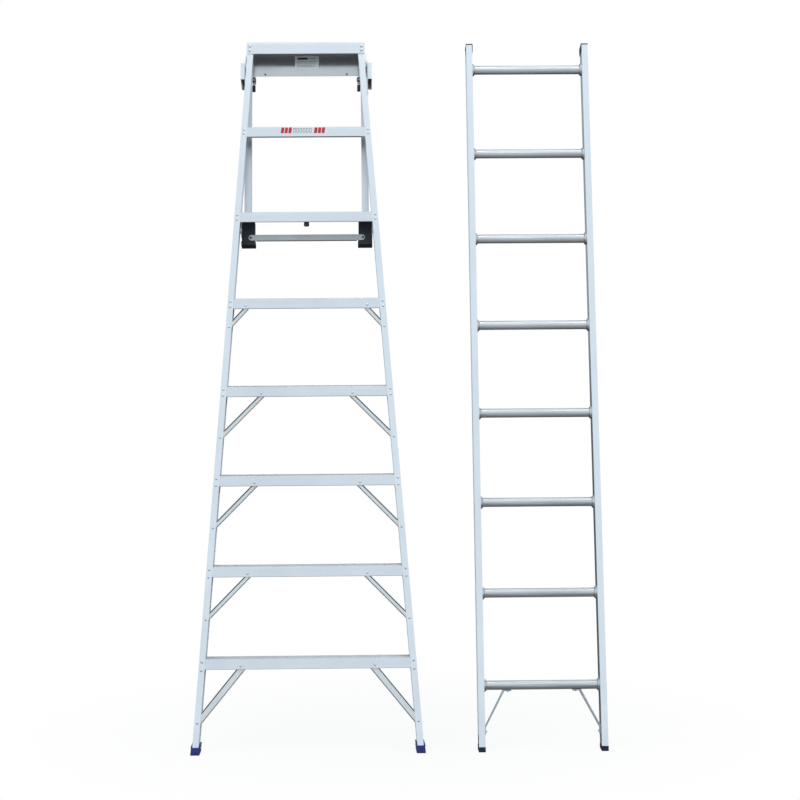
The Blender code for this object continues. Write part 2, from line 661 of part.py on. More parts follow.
def make_rung_lock(name, side):
    """A hook that reaches back under a rung from a pin in the rear rail, with a finger tail below."""
    seat_y = SLIDE_FRONT + RAIL_DEPTH / 2 - (REAR_FRONT + LOCK_SETBACK)
    rung = RUNG_DIAMETER / 2
    tip = seat_y + rung + 0.003
    outline = [
        *arc((0.0, 0.0), LOCK_BOSS, 210, 60, 10),
        (LOCK_CLEAR, LOCK_BOSS * 0.8),
        (LOCK_CLEAR + 0.006, LOCK_SEAT - 0.002),
        (seat_y - rung - 0.004, LOCK_SEAT + 0.004),
        (seat_y - rung * 0.5, LOCK_SEAT),
        (seat_y + rung * 0.5, LOCK_SEAT),
        (tip, LOCK_SEAT + 0.012),
        (tip + 0.006, LOCK_SEAT + 0.012),
        (tip + 0.006, LOCK_SEAT - 0.008),
        (tip - 0.004, LOCK_SEAT - 0.012),
        (LOCK_CLEAR + 0.004, -0.003),
        (LOCK_BOSS, -0.012),
        (0.004, -0.030),
        (-0.004, -0.030),
    ]
    pivot = empty(f"lock_pivot_{name}", REAR_PIVOT, rear(REAR_FRONT + LOCK_SETBACK, LOCK_HEIGHT))
    inner, outer = lock_span()
    lock = extruded("rung_lock", outline, side * inner, side * outer, "X")
    lock = add(f"rung_lock_{name}", lock, FINISH["lock"], pivot)
    radius = LOCK_PIN_DIAMETER / 2
    bore = rods("bore", radius + BOLT_PLAY, side * (inner - 0.005), side * (outer + 0.005), [(0.0, 0.0)], 16)
    shape_with(lock, "DIFFERENCE", bore)
    lengths = [
        (inner - 0.0032, inner - GAP, radius * 1.7),
        (inner - GAP, outer + GAP, radius),
        (outer + GAP, REAR_HALF - REAR_WALL - GAP, radius * 1.5),
    ]
    lengths = [(side * a, side * b, r) for a, b, r in lengths]
    place = rear(REAR_FRONT + LOCK_SETBACK, LOCK_HEIGHT)
    solid_turned(f"lock_pin_{name}", lengths, FINISH["zinc"], REAR_PIVOT, place, 14)


def make_rear_frame():
    for name, side in SIDES.items():
        make_rear_rail(name, side)
        make_shoe(name, side)
        make_lower_guide(name, side)
        make_upper_guide(name, side)
        make_rung_lock(name, side)
    make_head_plate()
    make_cross_bar()


# ---- Straight section ---------------------------------------------------------------------------
def rung_heights():
    return [LOWEST_RUNG + n * PITCH for n in range(RUNG_COUNT)]


def make_rail(name, side):
    middle = side * (SECTION_HALF - RAIL_WIDTH / 2)
    outline = [(x + middle, y) for x, y in channel(RAIL_WIDTH, RAIL_DEPTH, RAIL_WALL, -side)]
    low, high = floor_line(RAIL_FOOT_HEIGHT + GAP), SECTION_LENGTH - RAIL_CAP_THICKNESS - GAP
    rail = add(f"rail_{name}", extruded("rail", outline, lambda x, y: low(y), high), FINISH["rail"], SECTION)
    holes = rods(
        "rung_holes",
        RUNG_DIAMETER / 2 + GAP,
        side * (SECTION_INNER - 0.005),
        side * (SECTION_INNER + 0.008),
        [(RAIL_DEPTH / 2, z) for z in rung_heights()],
        16,
    )
    shape_with(rail, "DIFFERENCE", holes)


def make_rung(number, height):
    """A tube whose ends pass through the rails' webs and are swaged on both sides of them."""
    tube, bore = RUNG_DIAMETER / 2, RUNG_DIAMETER / 2 - RUNG_WALL
    inner, outer = SECTION_INNER - GAP, SECTION_INNER + RAIL_WALL + GAP
    half = [
        (inner - FLARE_LENGTH, tube),
        (inner - FLARE_LENGTH * 0.35, (tube * 2 + FLARE_DIAMETER / 2) / 3),
        (inner, FLARE_DIAMETER / 2),
        (inner, tube),
        (outer, tube),
        (outer, BEAD_DIAMETER / 2),
        (outer + BEAD_LENGTH, BEAD_DIAMETER / 2),
        (outer + BEAD_LENGTH, bore),
    ]
    profile = list(reversed(half)) + [(-x, r) for x, r in half]
    turned(f"rung_{number}", profile, FINISH["rung"], SECTION, (0, RAIL_DEPTH / 2, height), 16)


def make_rail_ends(name, side):
    """A cap on top of the rail, and a foot with a plug inside the channel."""
    web_inner = SECTION_INNER + RAIL_WALL + GAP
    middle = side * (SECTION_HALF - RAIL_WIDTH / 2)
    inner, outer = side * (SECTION_INNER - GAP - RAIL_CAP_CHEEK), side * (SECTION_HALF + RAIL_CAP_OVERHANG)
    front, back = -RAIL_CAP_OVERHANG, RAIL_DEPTH + RAIL_CAP_OVERHANG
    outline = rectangle(inner, outer, front, back)
    cheek = rectangle(inner, side * (SECTION_INNER - GAP), front, back)
    high = SECTION_LENGTH - RAIL_CAP_THICKNESS
    inset = RAIL_WALL + GAP
    plug = rectangle(side * web_inner, side * (SECTION_HALF - 0.001), inset, RAIL_DEPTH - inset)
    cap = extruded("rail_cap", outline, high, SECTION_LENGTH)
    cap = add(f"rail_cap_{name}", cap, FINISH["black"], SECTION)
    inside = high + RAIL_CAP_THICKNESS / 2
    shape_with(cap, "UNION", extruded("cap_plug", plug, high - 0.014, inside))
    shape_with(cap, "UNION", extruded("cap_cheek", cheek, SECTION_LENGTH - RAIL_CAP_CHEEK_LENGTH, inside))
    half, skin = RAIL_FOOT_WIDTH / 2, (RAIL_FOOT_WIDTH - RAIL_WIDTH) / 2
    outline = rectangle(middle - half, middle + half, -skin, RAIL_DEPTH + skin)
    low, top = floor_line(0.0), floor_line(RAIL_FOOT_HEIGHT)
    sole = extruded("rail_foot", outline, lambda x, y: low(y), lambda x, y: top(y))
    foot = add(f"rail_foot_{name}", sole, FINISH["black"], SECTION)
    inside, above = floor_line(RAIL_FOOT_HEIGHT / 2), floor_line(RAIL_FOOT_HEIGHT + PLUG_LENGTH)
    shape_with(foot, "UNION", extruded("foot_plug", plug, lambda x, y: inside(y), lambda x, y: above(y)))


def make_strut(name, side):
    """A flat bar from under the lowest rung down to the rail, with a tab bent at each end."""
    face = SECTION_INNER - GAP
    top = LOWEST_RUNG - RUNG_DIAMETER / 2 - GAP
    tab, thick = STRUT_THICKNESS / 2, STRUT_THICKNESS
    bend_x, bend_z = face - STRUT_REACH + STRUT_TAB, STRUT_FOOT + STRUT_TAB
    points = [
        (face - STRUT_REACH, top),
        (face - STRUT_REACH, top - tab),
        (bend_x - thick * 0.3, top - tab),
        (face - tab, bend_z - thick * 0.2),
        (face - tab, STRUT_FOOT),
        (face, STRUT_FOOT),
        (face, bend_z + thick * 0.6),
        (bend_x + thick * 0.6, top),
    ]
    outline = [(side * x, z) for x, z in points]
    low = RAIL_DEPTH / 2 - STRUT_DEPTH / 2
    mesh = extruded("strut", outline, low, low + STRUT_DEPTH, "Y")
    add(f"strut_{name}", mesh, FINISH["zinc"], SECTION)


def make_straight_section():
    for name, side in SIDES.items():
        make_rail(name, side)
        make_rail_ends(name, side)
        make_strut(name, side)
    for number, height in enumerate(rung_heights(), 1):
        make_rung(number, height)


def centre_on_floor():
    """Moves everything so that the origin is under the middle of the bounding box."""
    bpy.context.view_layer.update()
    graph = bpy.context.evaluated_depsgraph_get()
    points = []
    for thing in LADDER.objects:
        if thing.type == "MESH":
            solid = thing.evaluated_get(graph)
            points += [solid.matrix_world @ vertex.co for vertex in solid.data.vertices]
    low = [min(point[i] for point in points) for i in range(3)]
    high = [max(point[i] for point in points) for i in range(3)]
    ORIGIN.location = (-(low[0] + high[0]) / 2, -(low[1] + high[1]) / 2, -low[2])


clear_scene()
LADDER = collection("dual_purpose_ladder")
HELPERS = collection("ladder_helpers")
FINISH = {
    "rail": material("rail_aluminium", ALUMINIUM, 0.35, 1.0),
    "tread": material("tread_aluminium", ALUMINIUM, 0.38, 1.0),
    "cap": material("cap_aluminium", ALUMINIUM, 0.38, 1.0),
    "brace": material("brace_aluminium", DULL_ALUMINIUM, 0.42, 1.0),
    "rear": material("rear_frame_aluminium", DULL_ALUMINIUM, 0.40, 1.0),
    "rung": material("rung_aluminium", RUNG_GREY, 0.30, 1.0),
    "foot": material("navy_plastic", NAVY, 0.45, 0.0),
    "black": material("black_plastic", BLACK, 0.50, 0.0),
    "lock": material("lock_steel", ZINC, 0.45, 1.0),
    "zinc": material("zinc_steel", ZINC, 0.35, 1.0),
}
ORIGIN = empty("ladder_origin")
STEP_PLANE = empty("step_plane", ORIGIN, rotation=(-math.radians(LEAN), 0.0, 0.0))
REAR_PIVOT = empty("rear_frame_pivot", STEP_PLANE, location=(0.0, HINGE_BACK, HINGE_HEIGHT))
SECTION = empty("straight_section_plane", ORIGIN, (SECTION_APART, 0.0, 0.0), (-math.radians(LEAN), 0.0, 0.0))
make_step_section()
make_rear_frame()
make_straight_section()
centre_on_floor()
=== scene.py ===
"""Looks for the dual-purpose ladder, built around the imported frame.

The CAD nodes stay and get rounded edges and finishes. Treads, cap, braces and rungs are replaced by
finer shapes: ribbed, rolled, pressed and fluted. Fasteners, moulded details and plain stickers are added.
Shapes are drawn in the plane of the rails: x across, t back from the fronts of the rails, s up along them.
"""

import json
import math

import bmesh
import bpy
from mathutils import Matrix, Vector


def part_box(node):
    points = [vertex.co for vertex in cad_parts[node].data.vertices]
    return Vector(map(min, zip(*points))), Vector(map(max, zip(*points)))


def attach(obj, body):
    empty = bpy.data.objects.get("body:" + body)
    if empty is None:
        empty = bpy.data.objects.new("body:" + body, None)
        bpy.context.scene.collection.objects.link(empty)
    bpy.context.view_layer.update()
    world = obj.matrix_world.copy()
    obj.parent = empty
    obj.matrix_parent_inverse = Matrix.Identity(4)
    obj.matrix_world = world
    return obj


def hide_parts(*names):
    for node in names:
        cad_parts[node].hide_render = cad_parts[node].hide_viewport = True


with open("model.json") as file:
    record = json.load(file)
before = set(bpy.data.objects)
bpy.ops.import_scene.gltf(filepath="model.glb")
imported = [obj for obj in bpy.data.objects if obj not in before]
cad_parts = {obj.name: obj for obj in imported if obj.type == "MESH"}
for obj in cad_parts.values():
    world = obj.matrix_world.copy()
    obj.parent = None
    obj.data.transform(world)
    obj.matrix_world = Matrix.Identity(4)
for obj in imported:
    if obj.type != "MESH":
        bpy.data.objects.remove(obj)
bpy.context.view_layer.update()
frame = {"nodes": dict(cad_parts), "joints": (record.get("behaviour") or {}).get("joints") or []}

# ---- Places in the frame, in metres --------------------------------------------------------------
LEAN = math.radians(14.5)
LEAN_RISE = math.tan(LEAN)
TAPER = math.radians(4.2)
TAPER_RISE = math.tan(TAPER)
FOOT_HALF = 0.363  # middle of a stile at the floor
STILE_WIDTH, STILE_DEPTH, WALL = 0.0205, 0.062, 0.0018
GAP = 0.0003
PITCH, LOWEST_TREAD, HIGHEST_TREAD, CAP_TOP = 0.300, 0.308, 2.108, 2.410
TREAD_FLANGE, TREAD_WALL = 0.034, 0.0018
TREAD_NUMBERS = range(2, 9)  # downward; the cap counts as the first
REAR_HALF, REAR_FRONT, REAR_BACK = 0.2115, 0.076, 0.116
SECTION_INNER, RAIL_DEPTH = 0.1875, 0.060
LOWEST_RUNG, RUNG_COUNT = 0.217, 8
HINGE_SETBACK, HINGE_UP = 0.096, 2.356
CAP_HALF, CAP_REAR_HALF = 0.2015, 0.1935  # half widths of its top and of its rear flange
CAP_FRONT_FLANGE, CAP_REAR_FLANGE, CAP_WALL = 0.041, 0.116, 0.002
BOOT_HALF, BOOT_SKIN = 0.0145, 0.003
LOCK_PIVOT, LOCK_SETBACK = 2.309, 0.020
SHOE_LOW, SHOE_FRONT_WALL, SHOE_OUTER_WALL = 1.713, 0.006, 0.0085
CROSS_BAR_TAB, GUIDE_WALL = 0.0032, 0.0025
SIDES = {"left": -1, "right": 1}

# Rivet heads: radius, height
BRACE_HEAD = (0.0043, 0.0029)
BAR_HEAD = (0.0042, 0.0024)
BOOT_HEAD = (0.0036, 0.0019)
RAIL_HEAD = (0.0034, 0.0018)

LEANING = Matrix.Rotation(-LEAN, 4, "X")
JOINTS = {joint["name"]: joint for joint in frame["joints"]}
STEP_ORIGIN = Vector(JOINTS["rear_frame_hinge"]["pos_m"]) - LEANING @ Vector((0, HINGE_SETBACK, HINGE_UP))
STEP = Matrix.Translation(STEP_ORIGIN) @ LEANING
SECTION_MIDDLE = sum(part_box("rung_4"), Vector()).x / 2
SECTION = Matrix.Translation((SECTION_MIDDLE, STEP_ORIGIN.y, 0)) @ LEANING


def stile_middle(s):
    return FOOT_HALF - s * TAPER_RISE


# ---- Materials -----------------------------------------------------------------------------------
def nodes_of(name):
    made = bpy.data.materials.new(name)
    made.use_nodes = True
    tree = made.node_tree
    return made, tree, tree.nodes["Principled BSDF"]


def link(tree, out, into):
    tree.links.new(out, into)


def noise(tree, vector, scale, detail, roughness):
    node = tree.nodes.new("ShaderNodeTexNoise")
    node.inputs["Scale"].default_value = scale
    node.inputs["Detail"].default_value = detail
    node.inputs["Roughness"].default_value = roughness
    link(tree, vector, node.inputs["Vector"])
    return node.outputs["Fac"]


def spread(tree, value, low, high, start=0.3, end=0.7):
    """Maps a noise value onto a range."""
    node = tree.nodes.new("ShaderNodeMapRange")
    node.inputs["From Min"].default_value = start
    node.inputs["From Max"].default_value = end
    node.inputs["To Min"].default_value = low
    node.inputs["To Max"].default_value = high
    link(tree, value, node.inputs["Value"])
    return node.outputs["Result"]


def mixed(tree, value, first, second):
    node = tree.nodes.new("ShaderNodeMix")
    node.data_type = "RGBA"
    for slot, colour in ((6, first), (7, second)):
        if isinstance(colour, tuple):
            node.inputs[slot].default_value = (*colour, 1.0)
        else:
            link(tree, colour, node.inputs[slot])
    link(tree, value, node.inputs[0])
    return node.outputs[2]


def bumped(tree, shader, height, strength, distance, under=None):
    node = tree.nodes.new("ShaderNodeBump")
    node.inputs["Strength"].default_value = strength
    node.inputs["Distance"].default_value = distance
    link(tree, height, node.inputs["Height"])
    if under is not None:
        link(tree, under, node.inputs["Normal"])
    link(tree, node.outputs["Normal"], shader.inputs["Normal"])
    return node.outputs["Normal"]


def places(tree, stretch=(1.0, 1.0, 1.0)):
    """Object coordinates turned into the plane of the rails, and stretched along it."""
    where = tree.nodes.new("ShaderNodeTexCoord")
    turn = tree.nodes.new("ShaderNodeMapping")
    turn.vector_type = "TEXTURE"
    turn.inputs["Rotation"].default_value = (-LEAN, 0.0, 0.0)
    turn.inputs["Scale"].default_value = stretch
    link(tree, where.outputs["Object"], turn.inputs["Vector"])
    return turn.outputs["Vector"]


def aluminium(name, light, dark, rough, along, lines=0.35, painted_top_shade=None):
    """Mill-finish aluminium: die lines along one axis, soft patches of handling, fine scratches.

    Faces that look up can be given a darker colour: a painted shade on the tops.
    """
    made, tree, shader = nodes_of(name)
    long_way = {"x": (60.0, 1.0, 1.0), "y": (1.0, 60.0, 1.0), "s": (1.0, 1.0, 60.0)}[along]
    streaks = noise(tree, places(tree, long_way), 900.0, 2.0, 0.6)
    wide_streaks = noise(tree, places(tree, long_way), 160.0, 2.0, 0.5)
    clouds = noise(tree, places(tree), 7.0, 4.0, 0.6)
    specks = noise(tree, places(tree), 240.0, 2.0, 0.5)
    both = tree.nodes.new("ShaderNodeMath")
    both.operation = "MULTIPLY_ADD"
    both.inputs[1].default_value = 0.6
    link(tree, wide_streaks, both.inputs[0])
    link(tree, spread(tree, clouds, 0.0, 0.5), both.inputs[2])
    colour = mixed(tree, spread(tree, both.outputs[0], 0.0, 1.0, 0.2, 0.9), light, dark)
    # Painted shade: faces that look up are mixed towards a darker colour.
    if painted_top_shade:
        facing = tree.nodes.new("ShaderNodeSeparateXYZ")
        link(tree, tree.nodes.new("ShaderNodeTexCoord").outputs["Normal"], facing.inputs[0])
        colour = mixed(tree, spread(tree, facing.outputs["Z"], 0.0, 1.0, 0.55, 0.85), colour, painted_top_shade)
    link(tree, colour, shader.inputs["Base Color"])
    shader.inputs["Metallic"].default_value = 1.0
    rougher = tree.nodes.new("ShaderNodeMath")
    rougher.operation = "ADD"
    link(tree, spread(tree, clouds, rough - 0.04, rough + 0.05), rougher.inputs[0])
    link(tree, spread(tree, specks, -0.015, 0.03), rougher.inputs[1])
    link(tree, rougher.outputs[0], shader.inputs["Roughness"])
    fine = bumped(tree, shader, streaks, lines * 0.5, 0.0001)
    bumped(tree, shader, wide_streaks, lines, 0.0002, fine)
    return made


def plastic(name, base, worn, rough, grain=0.35):
    """Moulded plastic: fine grain, slight colour drift, a dusty bloom."""
    made, tree, shader = nodes_of(name)
    clouds = noise(tree, places(tree), 22.0, 4.0, 0.6)
    texture = noise(tree, places(tree), 1300.0, 2.0, 0.6)
    link(tree, mixed(tree, spread(tree, clouds, 0.0, 1.0), base, worn), shader.inputs["Base Color"])
    link(tree, spread(tree, clouds, rough - 0.05, rough + 0.08), shader.inputs["Roughness"])
    shader.inputs["IOR"].default_value = 1.5
    bumped(tree, shader, texture, grain, 0.00012)
    return made


def plated(name, light, dark, rough):
    """Zinc-plated steel with its spangle."""
    made, tree, shader = nodes_of(name)
    cells = tree.nodes.new("ShaderNodeTexVoronoi")
    cells.inputs["Scale"].default_value = 260.0
    link(tree, places(tree), cells.inputs["Vector"])
    grey = tree.nodes.new("ShaderNodeSeparateColor")
    link(tree, cells.outputs["Color"], grey.inputs["Color"])
    clouds = noise(tree, places(tree), 30.0, 4.0, 0.6)
    link(tree, mixed(tree, grey.outputs[0], light, dark), shader.inputs["Base Color"])
    shader.inputs["Metallic"].default_value = 1.0
    link(tree, spread(tree, clouds, rough - 0.08, rough + 0.12), shader.inputs["Roughness"])
    bumped(tree, shader, grey.outputs[1], 0.12, 0.0001)
    return made


def paper(name, colour, faded, foil=0.0):
    made, tree, shader = nodes_of(name)
    shader.inputs["Metallic"].default_value = foil
    clouds = noise(tree, places(tree), 60.0, 4.0, 0.6)
    link(tree, mixed(tree, spread(tree, clouds, 0.0, 1.0), colour, faded), shader.inputs["Base Color"])
    link(tree, spread(tree, clouds, 0.34, 0.46), shader.inputs["Roughness"])
    bumped(tree, shader, noise(tree, places(tree), 700.0, 2.0, 0.5), 0.08, 0.00005)
    return made


FINISH = {
    "rail": aluminium("rail_aluminium", (0.97, 0.98, 0.99), (0.90, 0.915, 0.935), 0.33, "s"),
    # The tread's upward faces take a painted shade, darker than the rest.
    "tread": aluminium(
        "tread_aluminium", (0.91, 0.92, 0.93), (0.83, 0.845, 0.865), 0.34, "x", painted_top_shade=(0.50, 0.51, 0.52)
    ),
    "cap": aluminium("cap_aluminium", (0.88, 0.89, 0.905), (0.80, 0.815, 0.84), 0.36, "x"),
    # A darker copy of the cap's aluminium: painted shade for the inside of the rear flange, under the cap's
    # top.
    "cap_rear_painted_shade": aluminium("cap_rear_flange_painted_shade", (0.72, 0.715, 0.71), (0.65, 0.645, 0.64), 0.17, "x", 0.12),
    "brace": aluminium("brace_aluminium", (0.95, 0.935, 0.915), (0.83, 0.82, 0.805), 0.38, "s", 0.7),
    # Near black: painted shade for the inner faces of the brace lips.
    "brace_lip_shade": aluminium("brace_lip_painted_shade", (0.16, 0.16, 0.16), (0.11, 0.11, 0.11), 0.5, "s"),
    "rear": aluminium("rear_frame_aluminium", (0.89, 0.90, 0.915), (0.80, 0.81, 0.83), 0.38, "s"),
    # A darker grey than the rear frame: painted shade on the cross bar.
    "bar": aluminium("cross_bar_painted_shade", (0.55, 0.55, 0.55), (0.48, 0.48, 0.48), 0.36, "x"),
    "rung": aluminium("rung_aluminium", (0.80, 0.805, 0.81), (0.72, 0.725, 0.735), 0.34, "x"),
    "rivet": aluminium("rivet_aluminium", (0.93, 0.94, 0.95), (0.82, 0.83, 0.85), 0.26, "y", 0.1),
    "foot": plastic("navy_plastic", (0.013, 0.021, 0.190), (0.020, 0.032, 0.225), 0.42),
    "rail_foot": plastic("dark_navy_plastic", (0.005, 0.007, 0.032), (0.009, 0.011, 0.045), 0.62),
    "black": plastic("black_plastic", (0.015, 0.018, 0.024), (0.026, 0.030, 0.038), 0.48),
    "bumper": plastic("grey_rubber", (0.085, 0.088, 0.092), (0.110, 0.113, 0.118), 0.60),
    "rubber": plastic("rubber_tread", (0.013, 0.018, 0.090), (0.022, 0.030, 0.120), 0.62, 0.6),
    "lock": plated("lock_steel", (0.60, 0.62, 0.64), (0.46, 0.48, 0.50), 0.40),
    "zinc": plated("zinc_steel", (0.52, 0.55, 0.57), (0.40, 0.43, 0.45), 0.38),
    "dark": plated("dark_steel", (0.16, 0.16, 0.17), (0.10, 0.10, 0.11), 0.45),
    "foil": paper("sticker_foil", (0.97, 0.97, 0.96), (0.90, 0.90, 0.89), 0.75),
    "ink": paper("sticker_black", (0.015, 0.015, 0.018), (0.03, 0.03, 0.032)),
    "grey": paper("sticker_grey", (0.20, 0.205, 0.215), (0.27, 0.275, 0.285)),
    "red": paper("sticker_red", (0.62, 0.022, 0.03), (0.50, 0.02, 0.028)),
}
SLOT = {"rivet": "zinc", "dark": "zinc", "rubber": "foot"}
SLOT |= {"foil": None, "ink": None, "grey": None, "red": None}


# ---- Making pieces -------------------------------------------------------------------------------
def mesh_of(name, shape, sharp=32.0):
    bmesh.ops.recalc_face_normals(shape, faces=shape.faces)
    mesh = bpy.data.meshes.new(name)
    shape.to_mesh(mesh)
    shape.free()
    mesh.polygons.foreach_set("use_smooth", [True] * len(mesh.polygons))
    mesh.set_sharp_from_angle(angle=math.radians(sharp))
    return mesh


def put(name, mesh, body, finish, place=STEP, replaced=()):
    """A new piece, drawn in the plane of the rails, that rides on a body."""
    mesh.transform(place)
    mesh.materials.append(FINISH[finish])
    piece = bpy.data.objects.new(name, mesh)
    bpy.context.scene.collection.objects.link(piece)
    piece.modifiers.new("Shading", "WEIGHTED_NORMAL").keep_sharp = True
    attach(piece, body)
    if replaced:
        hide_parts(*replaced)
    return piece


def rounded(points, radii, steps=4, even=False):
    """A closed outline with its corners rounded. Each radius belongs to the point at the same place.

    With even, a corner too flat to round still gives as many points.
    """
    out = []
    count = len(points)
    for i, (here, radius) in enumerate(zip(points, radii)):
        p, a, b = Vector(here), Vector(points[i - 1]), Vector(points[(i + 1) % count])
        to_a, to_b = (a - p).normalized(), (b - p).normalized()
        angle = to_a.angle(to_b)
        if radius <= 0 or angle > math.radians(176):
            out += [tuple(p)] * (steps + 1 if radius > 0 and even else 1)
            continue
        reach = min(radius / math.tan(angle / 2), 0.49 * (a - p).length, 0.49 * (b - p).length)
        radius = reach * math.tan(angle / 2)
        centre = p + (to_a + to_b).normalized() * radius / math.sin(angle / 2)
        start, stop = p + to_a * reach - centre, p + to_b * reach - centre
        turn = start.angle_signed(stop) if start.length > 1e-9 else 0.0
        first = math.atan2(start.y, start.x)
        for k in range(steps + 1):
            angle_k = first - turn * k / steps
            out.append((centre.x + radius * math.cos(angle_k), centre.y + radius * math.sin(angle_k)))
    return out


def drawn(shape, outline, start, end, spots):
    """Adds a closed outline in (u, v) drawn out from start to end, both functions of (u, v), to a bmesh."""
    rings = []
    for at in (start, end):
        rings.append([shape.verts.new(spots(u, v, at(u, v))) for u, v in outline])
    count = len(outline)
    for i in range(count):
        j = (i + 1) % count
        shape.faces.new((rings[0][i], rings[0][j], rings[1][j], rings[1][i]))
    shape.faces.new(rings[0][::-1])
    shape.faces.new(rings[1])


def along_x(u, v, w):
    return (w, u, v)


def along_y(u, v, w):
    return (u, w, v)


def along_z(u, v, w):
    return (u, v, w)


def at(value):
    return lambda u, v: value


def revolved(shape, profile, place, steps):
    """Adds a profile of (height, radius), spun about the local Z axis, to a bmesh."""
    rings = []
    for height, radius in profile:
        if radius < 1e-7:
            rings.append([shape.verts.new(place @ Vector((0, 0, height)))])
            continue
        ring = []
        for k in range(steps):
            angle = 2 * math.pi * k / steps
            spot = Vector((radius * math.cos(angle), radius * math.sin(angle), height))
            ring.append(shape.verts.new(place @ spot))
        rings.append(ring)
    for low, high in zip(rings, rings[1:]):
        for k in range(steps):
            n = (k + 1) % steps
            corners = [low[k % len(low)], low[n % len(low)], high[n % len(high)], high[k % len(high)]]
            corners = list(dict.fromkeys(corners))
            if len(corners) > 2:
                shape.faces.new(corners)
    for ring, flip in ((rings[0], True), (rings[-1], False)):
        if len(ring) > 1:
            shape.faces.new(ring[::-1] if flip else ring)


FACING = {
    "front": Matrix.Rotation(math.radians(90), 4, "X"),
    "back": Matrix.Rotation(math.radians(-90), 4, "X"),
    "left": Matrix.Rotation(math.radians(-90), 4, "Y"),
    "right": Matrix.Rotation(math.radians(90), 4, "Y"),
    "down": Matrix.Rotation(math.radians(180), 4, "X"),
}


def dome(radius, height):
    """Profile of a rivet head, with its foot sunk a little into what it sits on."""
    profile = [(-0.0002, radius * 0.86), (0.0, radius)]
    for k in range(1, 7):
        angle = math.radians(90 * k / 6)
        profile.append((height * math.sin(angle), radius * math.cos(angle)))
    profile[-1] = (height, 0.0)
    return profile


def rivet(shape, spot, facing, radius, height):
    """Adds one rivet head to a bmesh."""
    revolved(shape, dome(radius, height), Matrix.Translation(spot) @ FACING[facing], 20)


def rivets(name, body, spots, facing, radius=0.0045, height=0.0030, finish="rivet"):
    """A piece made of rivet heads that all face the same way."""
    shape = bmesh.new()
    for spot in spots:
        rivet(shape, spot, facing, radius, height)
    put(name, mesh_of(name, shape), body, finish)


def hexagon_head(shape, spot, facing, across, height, washer):
    """A hexagon head on a washer, with the bolt's end in the middle."""
    place = Matrix.Translation(spot) @ FACING[facing]
    revolved(shape, [(0.0, washer), (0.0011, washer), (0.0014, washer * 0.96)], place, 28)
    radius = across / math.sqrt(3)
    base, top = 0.0014, 0.0014 + height
    revolved(shape, [(base, radius), (top - height * 0.16, radius), (top, radius * 0.86)], place, 6)
    end = [(top - 0.0002, radius * 0.5), (top + 0.0012, radius * 0.5), (top + 0.0016, radius * 0.38)]
    revolved(shape, end, place, 16)


# ---- Step section --------------------------------------------------------------------------------
def tread_profile(top):
    """Outline in (t, s) of a tread: ribs along its level top, rolled edges, lips on its flanges."""
    front, back = WALL + GAP, STILE_DEPTH - WALL - GAP
    wall, under = TREAD_WALL, TREAD_WALL / math.cos(LEAN)
    groove, lip = 0.0011, 0.006

    def line(t):
        return top + (t - front) * LEAN_RISE

    points, radii = [(front, line(front) - TREAD_FLANGE)], [0.0006]
    points.append((front, line(front)))
    radii.append(0.0022)
    ribs, first, last = 11, front + 0.0042, back - 0.0042
    step = (last - first) / ribs
    for k in range(ribs):
        t = first + k * step
        for share, rise in ((0.0, -groove), (0.18, 0.0), (0.62, 0.0), (0.80, -groove)):
            points.append((t + share * step, line(t + share * step) + rise))
            radii.append(0.00025)
    points += [(back, line(back)), (back, line(back) - TREAD_FLANGE)]
    radii += [0.0022, 0.0006]
    low_back, low_front = line(back) - TREAD_FLANGE, line(front) - TREAD_FLANGE
    points += [(back - lip, low_back), (back - lip, low_back + wall), (back - wall, low_back + wall)]
    radii += [0.0004, 0.0004, 0.0008]
    points.append((back - wall, line(back - wall) - under - groove))
    points.append((front + wall, line(front + wall) - under - groove))
    radii += [0.0012, 0.0012]
    points += [(front + wall, low_front + wall), (front + lip, low_front + wall), (front + lip, low_front)]
    radii += [0.0008, 0.0004, 0.0004]
    return rounded(points, radii, 3)


def tread_tops():
    """Level of each tread's front edge, by its number."""
    return {number: HIGHEST_TREAD - (number - 2) * PITCH for number in TREAD_NUMBERS}


def make_treads():
    reach = (STILE_WIDTH / 2 - WALL - GAP) / math.cos(TAPER)
    for number, top in tread_tops().items():
        shape = bmesh.new()
        ends = [lambda t, s, side=side: side * (stile_middle(s) + reach) for side in (-1, 1)]
        drawn(shape, tread_profile(top), ends[0], ends[1], along_x)
        mesh = mesh_of("tread", shape, 40)
        put(f"tread_{number}_ribbed", mesh, "step_section", "tread", replaced=[f"tread_{number}"])


